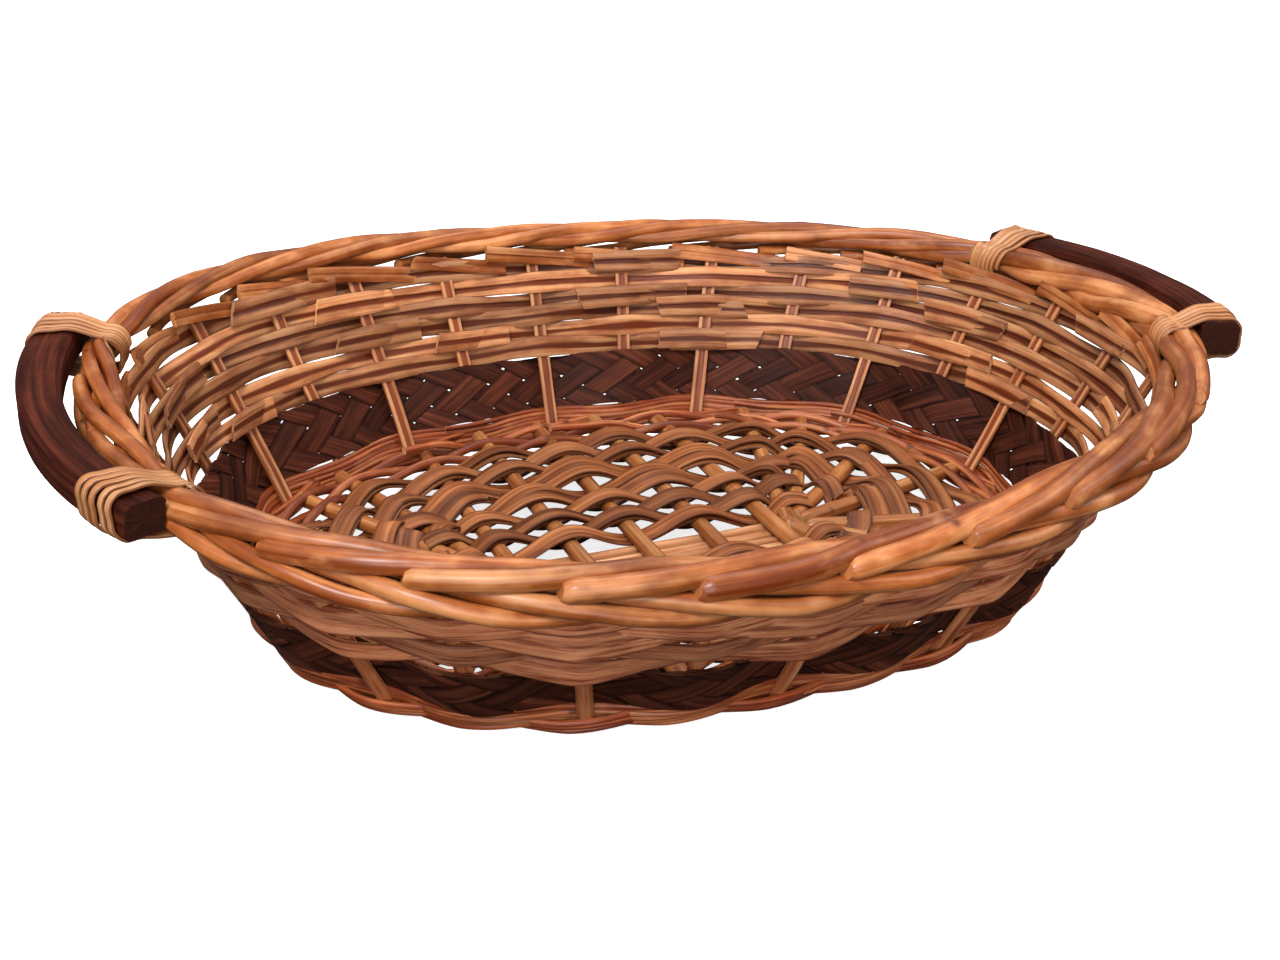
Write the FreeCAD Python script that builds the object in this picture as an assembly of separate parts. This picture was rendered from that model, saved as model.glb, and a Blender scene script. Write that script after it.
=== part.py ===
import FreeCAD, Part
import math
import os

# Oval wicker basket with two lashed wooden bar handles. Millimetres, +Z up, +X along the
# basket's length. The origin is in the middle of the basket, on the plane it stands on.

Vector = FreeCAD.Vector

# ---- driving dimensions ---------------------------------------------------------------
rim_half_length = 219.0      # to the middle of the border
rim_half_width = 168.5
rim_roundness = 2.2          # 2 is an ellipse, more is squarer
rim_height = 88.0            # middle of the border, half way along the sides
rim_rise = 6.0               # how much higher the border is at the two ends
rim_twist = 9.0              # the border is warped: two opposite quarters lie higher
rim_sag = 5.0                # how far it dips in the middle of the front
rim_sag_reach = 95.0
base_half_length = 171.0     # to the middle of the stakes, at the foot
base_half_width = 128.6
base_roundness = 2.36
foot_level = 6.0             # height at which the base oval is measured

stake_count = 26             # even, so that every row closes on itself
stake_phase = 0.35           # where stake 1 stands, in stake spacings past the +X end
stake_width = 6.4
stake_thickness = 4.0
stake_bottom = 2.0
stake_top = 82.0

clearance = 0.3              # gap left between pieces that lie on each other
places_per_span = 7          # a long curve is made in spans of this many places

weaver_rows = 6
weavers_per_row = 5
weaver_thickness = 1.8
weaver_gap = 0.5             # between one row and the next
weaver_joint = 1.5           # between the ends of two weavers of a row
wall_top = 76.0              # upper edge of the last row, half way along the sides

band_bottom = 11.8
band_top = 36.0
band_thickness = 2.2

border_rod_diameter = 5.2
border_phase = 0.08          # where a border rod starts, in stake spacings past a stake
# A border rod from its outer end: spacings travelled, distance out from the middle of the
# border, height above it. It goes over the top, down inside, back out through the middle,
# along the outside below, and ends inside under the border.
border_route = [
    (0.0, 7.2, 1.0), (0.5, 4.7, 3.2), (1.0, 0.7, 3.4), (1.5, -3.7, 3.2), (2.0, -6.7, 0.7),
    (2.5, -5.6, -2.1), (3.0, -0.1, -2.5), (3.5, 6.0, -2.2), (4.0, 8.9, -3.9), (4.5, 8.3, -7.1),
    (5.0, 4.1, -7.9), (5.5, -3.4, -7.7), (5.75, -6.6, -7.5),
]

foot_rod_diameter = 3.6
foot_twist_level = 3.2       # middle of the twisted pair that the basket stands on
foot_twist_rise = 2.0
foot_upper_level = 9.6

stick_diameter = 6.5
stick_level = 8.5            # middle of the base sticks
stick_spacing = 30.0
cross_stick_count = 5
slath_x = -6.0               # the woven cross is a little off the middle of the oval
slath_y = -14.0
slath_half_width = 15.0
slath_rod_diameter = 4.4
slath_rod_count = 5
slath_rod_spacing = 6.0
slath_rod_half_length = 86.0
corner_stick_offset = 8.0    # beside the outermost cross sticks
corner_stick_angle = 73.0
fan_origin = 78.0
fan_start = 7.0
fan_angles = (-60.0, -38.0, -14.0, 14.0, 38.0, 60.0)
stick_end_inset = 7.6        # from the middle of the stakes to the end of a base stick

base_strip_width = 6.4
base_strip_thickness = 1.6
base_round_count = 6
base_round_first = (94.0, 52.0, -56.0)  # half length, far edge, near edge
base_round_step = (11.0, 8.4, -7.6)
packing_far_count = 5
packing_near_count = 3
packing_sag = 4.0

base_wale_count = 3
base_wale_diameter = 3.8
base_wale_first = (154.0, 101.5)
base_wale_step = (4.4, 7.0)

handle_width = 16.0
handle_height = 14.0
handle_chamfer = 1.5
handle_outreach = 241.5      # middle of the bar, at the +X end
handle_bend_radius = 164.6
handle_half_length = 80.0
handle_level = 95.7

cane_turns = 5
cane_width = 3.4
cane_pitch = 3.7
cane_thickness = 0.9
lashing_offset = 62.0        # from the middle of the handle to the middle of a lashing
# One turn of cane round the border and the bar: out from the middle of the border, and up.
cane_route = [
    (-10.8, -3.0), (-10.5, 3.0), (-7.2, 7.2), (0.0, 8.8), (9.0, 10.4), (18.0, 11.0),
    (26.6, 10.6), (29.0, 6.0), (29.0, -3.0), (26.0, -6.6), (18.0, -7.8), (9.0, -10.4),
    (2.0, -12.0), (-6.0, -11.9), (-10.2, -8.2),
]


# ---- ovals and the leaning wall --------------------------------------------------------
class Oval:
    """A closed superellipse whose points are found by the share of its length."""

    steps = 1440

    def __init__(self, half_length, half_width, roundness, centre_y=0.0):
        self.points = []
        for step in range(self.steps + 1):
            angle = 2 * math.pi * step / self.steps
            cosine, sine = math.cos(angle), math.sin(angle)
            x = half_length * math.copysign(abs(cosine) ** (2 / roundness), cosine)
            y = half_width * math.copysign(abs(sine) ** (2 / roundness), sine)
            self.points.append(Vector(x, y + centre_y, 0))
        self.travelled = [0.0]
        for before, after in zip(self.points, self.points[1:]):
            self.travelled.append(self.travelled[-1] + before.distanceToPoint(after))
        self.length = self.travelled[-1]

    def at(self, share):
        target = (share % 1.0) * self.length
        low, high = 0, self.steps
        while high - low > 1:
            middle = (low + high) // 2
            if self.travelled[middle] <= target:
                low = middle
            else:
                high = middle
        span = self.travelled[high] - self.travelled[low]
        part = (target - self.travelled[low]) / span if span else 0.0
        return self.points[low] + (self.points[high] - self.points[low]) * part

    def along(self, share):
        return (self.at(share + 0.002) - self.at(share - 0.002)).normalize()

    def outward(self, share):
        direction = self.along(share)
        return Vector(direction.y, -direction.x, 0)

    def share_nearest(self, line_start, line_end):
        """Share of the oval's length at which the line crosses it."""
        best_share, best_gap = 0.0, 1e9
        direction = (line_end - line_start).normalize()
        for point, travelled in zip(self.points, self.travelled):
            reach = point - line_start
            if reach.dot(direction) < 0:
                continue
            gap = reach.cross(direction).Length
            if gap < best_gap:
                best_share, best_gap = travelled / self.length, gap
        return best_share


rim_oval = Oval(rim_half_length, rim_half_width, rim_roundness)
base_oval = Oval(base_half_length, base_half_width, base_roundness)


def rim_level(share):
    point = rim_oval.at(share)
    length_part, width_part = point.x / rim_half_length, point.y / rim_half_width
    sag = rim_sag * max(0.0, -width_part) ** 2 * math.exp(-(point.x / rim_sag_reach) ** 2)
    return rim_height + rim_rise * length_part ** 2 - rim_twist * length_part * width_part - sag


def wall_point(share, level):
    """Middle of the wall at a height given as it is half way along the sides."""
    part = (level - foot_level) / (rim_height - foot_level)
    point = base_oval.at(share) * (1 - part) + rim_oval.at(share) * part
    point.z = foot_level + part * (rim_level(share) - foot_level)
    return point


def wall_frame(share, level):
    """Directions at a point of the wall: along the row, up the wall, out of the wall."""
    up = (wall_point(share, level + 1) - wall_point(share, level - 1)).normalize()
    along = wall_point(share + 0.002, level) - wall_point(share - 0.002, level)
    along = (along - up * along.dot(up)).normalize()
    return along, up, along.cross(up)


def stake_share(number):
    return (number + stake_phase) / stake_count


def side_of_stakes(share, row):
    """+1 where the row passes outside a stake, -1 where it passes inside."""
    return math.cos(math.pi * (share * stake_count - stake_phase + row))


# ---- solids ---------------------------------------------------------------------------
def corner_edges(places, closed):
    """A smooth curve through the places, in several spans that follow each other."""
    curve = Part.BSplineCurve()
    last = len(places) if closed else len(places) - 1
    knots = [step / last for step in range(last + 1)]
    curve.interpolate(Points=places, PeriodicFlag=closed, Parameters=knots)
    spans = max(1, last // places_per_span)
    marks = [knots[last * span // spans] for span in range(spans + 1)]
    return [curve.toShape(start, end) for start, end in zip(marks, marks[1:])]


def strand(sections, closed):
    """Solid whose long edges are smooth curves through matching corners of the sections."""
    corners = range(len(sections[0]))
    edges = [corner_edges([section[c] for section in sections], closed) for c in corners]
    faces = []
    for side, next_side in zip(edges, edges[1:] + edges[:1]):
        faces += [Part.makeRuledSurface(a, b) for a, b in zip(side, next_side)]
    if not closed:
        for end in (sections[0], sections[-1]):
            faces.append(Part.Face(Part.makePolygon(end + end[:1])))
    shell = Part.makeShell(faces)
    shell.sewShape()
    solid = Part.makeSolid(Part.Shell(shell.Faces))
    if solid.Volume < 0:
        solid.reverse()
    return solid


def outline_at(centre, across, up, outline):
    return [centre + across * u + up * v for u, v in outline]


def rectangle(width, thickness):
    u, v = width / 2, thickness / 2
    return [(-u, -v), (u, -v), (u, v), (-u, v)]


def six_sided(diameter):
    angles = [math.radians(60 * corner) for corner in range(6)]
    return [(diameter / 2 * math.cos(a), diameter / 2 * math.sin(a)) for a in angles]


def round_strand(path, diameter, closed):
    """A rod of six flats along a nearly level path."""
    sections = []
    for index, centre in enumerate(path):
        if closed:
            before, after = path[index - 1], path[(index + 1) % len(path)]
        else:
            before, after = path[max(index - 1, 0)], path[min(index + 1, len(path) - 1)]
        direction = (after - before).normalize()
        across = direction.cross(Vector(0, 0, 1)).normalize()
        sections.append(outline_at(centre, across, across.cross(direction), six_sided(diameter)))
    return strand(sections, closed)


def stick(start, end, diameter):
    return Part.makeCylinder(diameter / 2, start.distanceToPoint(end), start, end - start)


# ---- wall -----------------------------------------------------------------------------
def make_stake(number):
    share = stake_share(number)
    half, thick = stake_width / 2, stake_thickness / 2
    outline = [(-half, -thick), (half, -thick), (0.85 * half, 0.3 * thick),
               (0.4 * half, thick), (-0.4 * half, thick), (-0.85 * half, 0.3 * thick)]
    sections = []
    for step in range(4):
        level = stake_bottom + (stake_top - stake_bottom) * step / 3
        along, up, out = wall_frame(share, level)
        sections.append(outline_at(wall_point(share, level), along, out, outline))
    return strand(sections, False)


def ribbon_section(share, level, width, thickness, row):
    """Section of a flat strip that passes in and out of the stakes."""
    along, up, out = wall_frame(share, level)
    swing = (stake_thickness + thickness) / 2 + clearance
    centre = wall_point(share, level) + out * (swing * side_of_stakes(share, row))
    return outline_at(centre, up, out, rectangle(width, thickness))


row_pitch = (wall_top - band_top) / weaver_rows
slope = wall_point(0.25, wall_top).distanceToPoint(wall_point(0.25, band_top)) / (wall_top - band_top)


def make_weaver_row(row):
    """One row of the upper wall: split strips, end to end, over one stake and under the next."""
    level = band_top + (row + 0.5) * row_pitch
    width = (row_pitch - weaver_gap) * slope
    weavers = []
    for number in range(weavers_per_row):
        first = (row * 0.37 + number) / weavers_per_row
        joint = weaver_joint / rim_oval.length
        span = 1 / weavers_per_row - joint
        steps = 4 * stake_count // weavers_per_row
        shares = [first + span * step / steps for step in range(steps + 1)]
        sections = [ribbon_section(s, level, width, weaver_thickness, row + 1) for s in shares]
        weavers.append(strand(sections, False))
    return weavers


def make_plaited_band():
    level = (band_bottom + band_top) / 2
    width = (band_top - band_bottom - weaver_gap) * slope
    shares = [step / (4 * stake_count) for step in range(4 * stake_count)]
    sections = [ribbon_section(s, level, width, band_thickness, 0) for s in shares]
    return [strand(sections, True)]


def make_border_rod(number):
    path = []
    for travelled, out, up in border_route:
        share = (number + stake_phase + border_phase + travelled) / stake_count
        point = rim_oval.at(share) + rim_oval.outward(share) * out
        point.z = rim_level(share) + up
        path.append(point)
    return round_strand(path, border_rod_diameter, False)


def foot_path(swing_sign, level, rise, row):
    """A thin rod round the foot, in and out of the stakes, rising and falling as it turns."""
    swing = (stake_thickness + foot_rod_diameter) / 2 + clearance
    path = []
    for step in range(4 * stake_count):
        share = step / (4 * stake_count)
        turn = math.pi * (share * stake_count - stake_phase + row)
        point = wall_point(share, level)
        point = point + base_oval.outward(share) * (swing_sign * swing * math.cos(turn))
        point.z = level + rise * swing_sign * math.sin(turn)
        path.append(point)
    return path


def make_foot_rods():
    """A twisted pair that the basket stands on, and one plain rod above it."""
    pair = [round_strand(foot_path(sign, foot_twist_level, foot_twist_rise, 0), foot_rod_diameter, True)
            for sign in (1, -1)]
    below_ground = Part.makeBox(600, 600, 10, Vector(-300, -300, -10))
    pair = [rod.cut(below_ground).Solids[0] for rod in pair]
    upper = round_strand(foot_path(1, foot_upper_level, 0.0, 0), foot_rod_diameter, True)
    return pair + [upper]


# ---- base -----------------------------------------------------------------------------
def cross_stick_x(number):
    return slath_x + (number - (cross_stick_count - 1) / 2) * stick_spacing


stick_limit = Oval(base_half_length - stick_end_inset, base_half_width - stick_end_inset, base_roundness)


def reach_to_limit(start, direction):
    """The point where a base stick ends, close inside the foot of the wall."""
    share = stick_limit.share_nearest(start, start + direction * 10)
    point = stick_limit.at(share)
    reach = (point - Vector(start.x, start.y, 0)).dot(direction)
    return start + direction * reach


def base_spokes():
    """Start and end of every base stick that runs out from the middle, anticlockwise."""
    spokes = []
    corner_x = (cross_stick_count - 1) / 2 * stick_spacing + corner_stick_offset
    lean = math.radians(corner_stick_angle)
    for side in (1, -1):
        for number in range(cross_stick_count):
            start = Vector(cross_stick_x(number), slath_y, stick_level)
            spokes.append(("cross", start, Vector(0, side, 0)))
        for end in (1, -1):
            start = Vector(slath_x + end * corner_x, slath_y + side * 3, stick_level)
            direction = Vector(end * math.cos(lean), side * math.sin(lean), 0)
            spokes.append(("corner", start, direction))
    for end in (1, -1):
        for angle in fan_angles:
            turn = math.radians(angle)
            direction = Vector(end * math.cos(turn), math.sin(turn), 0)
            start = Vector(slath_x + end * fan_origin, slath_y + 4 * angle / 14, stick_level)
            spokes.append(("fan", start + direction * fan_start, direction))
    ended = [(kind, start, reach_to_limit(start, way)) for kind, start, way in spokes]
    return sorted(ended, key=lambda spoke: math.atan2(spoke[2].y, spoke[2].x))


spokes = base_spokes()


def make_cross_sticks():
    sticks = []
    for number in range(cross_stick_count):
        start = Vector(cross_stick_x(number), slath_y, stick_level)
        far = reach_to_limit(start, Vector(0, 1, 0))
        near = reach_to_limit(start, Vector(0, -1, 0))
        sticks.append(stick(near, far, stick_diameter))
    return sticks


def make_spoke_sticks(kind, end=0):
    chosen = [s for s in spokes if s[0] == kind and (end == 0 or s[2].x * end > 0)]
    return [stick(start, finish, stick_diameter) for name, start, finish in chosen]


def make_slath_rods():
    level = stick_level - stick_diameter / 2 - clearance - slath_rod_diameter / 2
    rods = []
    for number in range(slath_rod_count):
        y = slath_y + (number - (slath_rod_count - 1) / 2) * slath_rod_spacing
        start = Vector(slath_x - slath_rod_half_length, y, level)
        rods.append(stick(start, start + Vector(2 * slath_rod_half_length, 0, 0), slath_rod_diameter))
    return rods


def wave_round(oval, first_sign, thickness):
    """Middle points of a closed strip or rod that goes over one spoke and under the next."""
    swing = (stick_diameter + thickness) / 2 + clearance
    crossings = sorted(oval.share_nearest(start, end) for name, start, end in spokes)
    stations = []
    for index, share in enumerate(crossings):
        following = crossings[(index + 1) % len(crossings)]
        if following < share:
            following += 1.0
        sign = first_sign * (-1) ** index
        for part, height in ((0.0, 1.0), (0.25, 0.72), (0.5, 0.0), (0.75, -0.72)):
            stations.append((share + part * (following - share), sign * height * swing))
    return stations


def make_base_round(number):
    half_length, far, near = [a + number * b for a, b in zip(base_round_first, base_round_step)]
    oval = Oval(half_length, (far - near) / 2, base_roundness, (far + near) / 2)
    outline = rectangle(base_strip_width, base_strip_thickness)
    sections = []
    for share, lift in wave_round(oval, (-1) ** number, base_strip_thickness):
        centre = oval.at(share)
        centre.z = stick_level + lift
        sections.append(outline_at(centre, oval.outward(share), Vector(0, 0, 1), outline))
    return [strand(sections, True)]


def make_packing(side, count):
    """Short strips that fill the long sides between the middle and the first full round."""
    edge = slath_half_width + base_strip_width / 2 + 1.0
    corner_x = (cross_stick_count - 1) / 2 * stick_spacing + corner_stick_offset
    lean = math.tan(math.radians(90 - corner_stick_angle))
    first_round = base_round_first[1] if side > 0 else base_round_first[2]
    step = (abs(first_round - slath_y) - edge) / count
    swing = (stick_diameter + base_strip_thickness) / 2 + clearance
    outline = rectangle(base_strip_width, base_strip_thickness)
    strips = []
    for number in range(count):
        reach = edge + number * step
        corner = corner_x + reach * lean
        xs = [cross_stick_x(n) for n in range(cross_stick_count)]
        xs = [slath_x - corner] + xs + [slath_x + corner]
        sections = []
        for index, x in enumerate(xs):
            sign = (-1) ** (index + number)
            marks = [(x, sign * swing)]
            if index + 1 < len(xs):
                marks.append(((x + xs[index + 1]) / 2, 0.0))
            for mark_x, lift in marks:
                sag = packing_sag * ((mark_x - slath_x) / corner) ** 2
                y = slath_y + side * (reach - sag)
                centre = Vector(mark_x, y, stick_level + lift)
                sections.append(outline_at(centre, Vector(0, side, 0), Vector(0, 0, 1), outline))
        strips.append(strand(sections, False))
    return strips


def make_base_wale():
    """Thin rods that fill the gap between the base strips and the wall."""
    rods = []
    for number in range(base_wale_count):
        half_length, half_width = [a + number * b for a, b in zip(base_wale_first, base_wale_step)]
        oval = Oval(half_length, half_width, base_roundness)
        path = []
        for share, lift in wave_round(oval, (-1) ** number, base_wale_diameter):
            centre = oval.at(share)
            centre.z = stick_level + lift
            path.append(centre)
        rods.append(round_strand(path, base_wale_diameter, True))
    return rods


# ---- handles --------------------------------------------------------------------------
def make_handle(end):
    """A bar bent to the end of the oval, with its long edges taken off."""
    u, v, c = handle_width / 2, handle_height / 2, handle_chamfer
    corners = [(-u + c, -v), (u - c, -v), (u, -v + c), (u, v - c),
               (u - c, v), (-u + c, v), (-u, v - c), (-u, -v + c)]
    half_turn = math.degrees(math.asin(handle_half_length / handle_bend_radius))
    centre_x = handle_outreach - handle_bend_radius
    points = [Vector(handle_outreach + a, 0, handle_level + b) for a, b in corners]
    face = Part.Face(Part.makePolygon(points + points[:1]))
    face.rotate(Vector(centre_x, 0, 0), Vector(0, 0, 1), -half_turn)
    bar = face.revolve(Vector(centre_x, 0, 0), Vector(0, 0, 1), 2 * half_turn)
    tilt = math.degrees(math.atan(rim_twist / rim_half_width))
    bar.rotate(Vector(0, 0, handle_level), Vector(1, 0, 0), -tilt)
    if end < 0:
        bar.rotate(Vector(0, 0, 0), Vector(0, 0, 1), 180)
    return [bar.Solids[0]]


def make_lashing(end, side):
    """Turns of flat cane, side by side, round the border and the handle."""
    line_start = Vector(0, side * lashing_offset, 0)
    share = rim_oval.share_nearest(line_start, line_start + Vector(end * 10, 0, 0))
    middle, along, out = rim_oval.at(share), rim_oval.along(share), rim_oval.outward(share)
    middle.z = rim_level(share)
    turns = []
    for number in range(cane_turns):
        shift = along * ((number - (cane_turns - 1) / 2) * cane_pitch)
        path = [middle + shift + out * u + Vector(0, 0, v) for u, v in cane_route]
        sections = []
        for index, centre in enumerate(path):
            direction = (path[(index + 1) % len(path)] - path[index - 1]).normalize()
            sections.append(outline_at(centre, along, along.cross(direction),
                                       rectangle(cane_width, cane_thickness)))
        turns.append(strand(sections, True))
    return turns


# ---- files ----------------------------------------------------------------------------
def save(node, solids):
    shape = solids[0] if len(solids) == 1 else Part.makeCompound(solids)
    shape.exportStep("parts/%s.step" % node)


os.makedirs("parts", exist_ok=True)

for number in range(stake_count):
    save("stake_%02d" % (number + 1), [make_stake(number)])
half_count = stake_count // 2
save("border_rods_back", [make_border_rod(n) for n in range(half_count)])
save("border_rods_front", [make_border_rod(n) for n in range(half_count, stake_count)])
for row in range(weaver_rows):
    save("weaver_row_%d" % (row + 1), make_weaver_row(row))
save("plaited_band", make_plaited_band())
for number, rod in enumerate(make_foot_rods()):
    save("foot_rod_%d" % (number + 1), [rod])

save("cross_sticks", make_cross_sticks())
save("corner_sticks", make_spoke_sticks("corner"))
save("fan_sticks_right", make_spoke_sticks("fan", 1))
save("fan_sticks_left", make_spoke_sticks("fan", -1))
save("slath_rods", make_slath_rods())
for number in range(base_round_count):
    save("base_round_%d" % (number + 1), make_base_round(number))
save("base_packing_far", make_packing(1, packing_far_count))
save("base_packing_near", make_packing(-1, packing_near_count))
save("base_wale", make_base_wale())

for name, end in (("right", 1), ("left", -1)):
    save("handle_" + name, make_handle(end))
    for place, side in (("back", 1), ("front", -1)):
        save("lashing_%s_%s" % (name, place), make_lashing(end, side))
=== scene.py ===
import math

import bpy
import numpy as np
from mathutils import Matrix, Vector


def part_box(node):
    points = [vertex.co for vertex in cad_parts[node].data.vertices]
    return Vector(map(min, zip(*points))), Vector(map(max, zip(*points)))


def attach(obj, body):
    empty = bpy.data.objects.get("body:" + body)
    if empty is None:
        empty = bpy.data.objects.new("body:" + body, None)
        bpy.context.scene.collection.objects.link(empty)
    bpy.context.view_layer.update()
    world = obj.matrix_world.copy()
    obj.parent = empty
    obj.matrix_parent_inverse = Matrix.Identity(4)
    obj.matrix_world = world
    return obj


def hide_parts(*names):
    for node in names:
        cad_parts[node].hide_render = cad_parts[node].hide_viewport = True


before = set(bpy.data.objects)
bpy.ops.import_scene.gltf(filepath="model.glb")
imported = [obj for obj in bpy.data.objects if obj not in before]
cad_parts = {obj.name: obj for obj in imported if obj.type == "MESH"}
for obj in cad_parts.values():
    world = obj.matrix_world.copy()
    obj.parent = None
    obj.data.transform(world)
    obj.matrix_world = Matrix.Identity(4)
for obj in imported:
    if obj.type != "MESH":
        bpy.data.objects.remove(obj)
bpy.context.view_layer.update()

# Oval wicker basket: every strand is a mesh of its own shape, laid on the ovals and the
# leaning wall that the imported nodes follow. Metres, +Z up, +X along the basket.

MM = 0.001
UP = np.array([0.0, 0.0, 1.0])
rng = np.random.default_rng(26)

# ---- driving dimensions ---------------------------------------------------------------
stake_count = sum(name.startswith("stake_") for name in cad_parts)
stake_phase = 0.35
rim_rise = 6 * MM
rim_twist = 9 * MM
rim_sag = 5 * MM
rim_sag_reach = 95 * MM
rim_height = 88 * MM
foot_level = 6 * MM
stake_bottom = 2 * MM
stake_top = 82 * MM
stake_width = 6.2 * MM
stake_depth = 4.1 * MM

weaver_rows = 6
weavers_per_row = 5
weaver_depth = 2.1 * MM
wall_top = 78.5 * MM
band_bottom = 11.8 * MM
band_top = 36 * MM

plait_strips = 2 * stake_count       # of each of the two families
plait_lean = math.radians(32)        # of a strip to the edges of the band
plait_depth = 0.7 * MM
plait_relief = 0.55 * MM             # from the middle of the band to the middle of a strip

clearance = 0.3 * MM
stick_diameter = 6.9 * MM
stick_level = 8.5 * MM
stick_spacing = 30 * MM
cross_stick_count = 5
slath_x, slath_y = -6 * MM, -14 * MM
slath_half_width = 15 * MM
slath_rod_count = 5
strip_width = 10.2 * MM
strip_depth = 0.9 * MM


# ---- small mathematics ----------------------------------------------------------------
def unit(vectors):
    return vectors / np.linalg.norm(vectors, axis=-1, keepdims=True)


def ease(amount):
    amount = np.clip(amount, 0, 1)
    return amount * amount * (3 - 2 * amount)


def wander(places, reach, size):
    """Smooth random values at rising places, which change over about that reach."""
    count = int((places[-1] - places[0]) / reach) + 3
    knots = rng.normal(size=count) * size
    steps = (places - places[0]) / reach
    index = np.clip(steps.astype(int), 0, count - 2)
    part = ease(steps - index)
    return knots[index] * (1 - part) + knots[index + 1] * part


def travelled(path):
    steps = np.linalg.norm(np.diff(path, axis=0), axis=1)
    return np.concatenate([[0.0], np.cumsum(steps)])


def smooth_path(points, count, closed=False):
    """Catmull-Rom curve through the points, as evenly spaced places."""
    points = np.asarray(points, float)
    if closed:
        ring = np.concatenate([points[-1:], points, points[:2]])
    else:
        ring = np.concatenate([2 * points[:1] - points[1:2], points, 2 * points[-1:] - points[-2:-1]])
    t = np.linspace(0, 1, 12, endpoint=False)[:, None]
    parts = []
    for a, b, c, d in zip(ring, ring[1:], ring[2:], ring[3:]):
        curve = 2 * b + (c - a) * t + (2 * a - 5 * b + 4 * c - d) * t**2 + (3 * b - a - 3 * c + d) * t**3
        parts.append(curve / 2)
    dense = np.concatenate(parts + [ring[-2:-1]])
    length = travelled(dense)
    marks = np.linspace(0, length[-1], count, endpoint=not closed)
    return np.stack([np.interp(marks, length, dense[:, k]) for k in range(dense.shape[1])], 1)


class Oval:
    """A closed superellipse whose points are found by the share of its length."""

    def __init__(self, half_length, half_width, roundness, centre_y=0.0):
        angle = np.linspace(0, 2 * np.pi, 2881)
        cosine, sine = np.cos(angle), np.sin(angle)
        self.half_length, self.half_width = half_length, half_width
        self.x = half_length * np.sign(cosine) * np.abs(cosine) ** (2 / roundness)
        self.y = half_width * np.sign(sine) * np.abs(sine) ** (2 / roundness) + centre_y
        self.travelled = travelled(np.stack([self.x, self.y], 1))
        self.length = self.travelled[-1]

    def at(self, share):
        target = np.mod(share, 1.0) * self.length
        x = np.interp(target, self.travelled, self.x)
        return np.stack([x, np.interp(target, self.travelled, self.y), 0 * x], -1)

    def along(self, share):
        return unit(self.at(share + 0.002) - self.at(share - 0.002))

    def outward(self, share):
        return np.cross(self.along(share), UP)

    def crossing(self, start, way):
        """Share of the length at which a line from start crosses the oval."""
        reach_x, reach_y = self.x - start[0], self.y - start[1]
        gap = np.abs(reach_x * way[1] - reach_y * way[0])
        gap[reach_x * way[0] + reach_y * way[1] < 0] = 9.0
        return self.travelled[gap.argmin()] / self.length


base_roundness = 2.36
rim = Oval(219 * MM, 168.5 * MM, 2.2)
base = Oval(171 * MM, 128.6 * MM, base_roundness)


def rim_level(share):
    """The border rises to both ends, is warped, and dips in the middle of the front."""
    point = rim.at(share)
    length_part, width_part = point[..., 0] / rim.half_length, point[..., 1] / rim.half_width
    sag = rim_sag * np.maximum(0, -width_part) ** 2 * np.exp(-(point[..., 0] / rim_sag_reach) ** 2)
    return rim_height + rim_rise * length_part**2 - rim_twist * length_part * width_part - sag


def wall_point(share, level):
    """Middle of the wall at a height given as it is half way along the sides."""
    share, level = np.broadcast_arrays(share, level)
    part = ((level - foot_level) / (rim_height - foot_level))[..., None]
    top, foot = rim.at(share), base.at(share)
    top[..., 2], foot[..., 2] = rim_level(share), foot_level
    return foot + (top - foot) * part


def wall_frame(share, level):
    """Directions at a point of the wall: along the row, up the wall, out of the wall."""
    up = unit(wall_point(share, level + MM) - wall_point(share, level - MM))
    along = wall_point(share + 0.002, level) - wall_point(share - 0.002, level)
    along = unit(along - up * (along * up).sum(-1, keepdims=True))
    return along, up, np.cross(along, up)


def side_of_stakes(share, row):
    """+1 where the row passes outside a stake, -1 where it passes inside."""
    return np.cos(np.pi * (share * stake_count - stake_phase + row))


def column(values):
    return np.asarray(values)[..., None]


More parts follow.
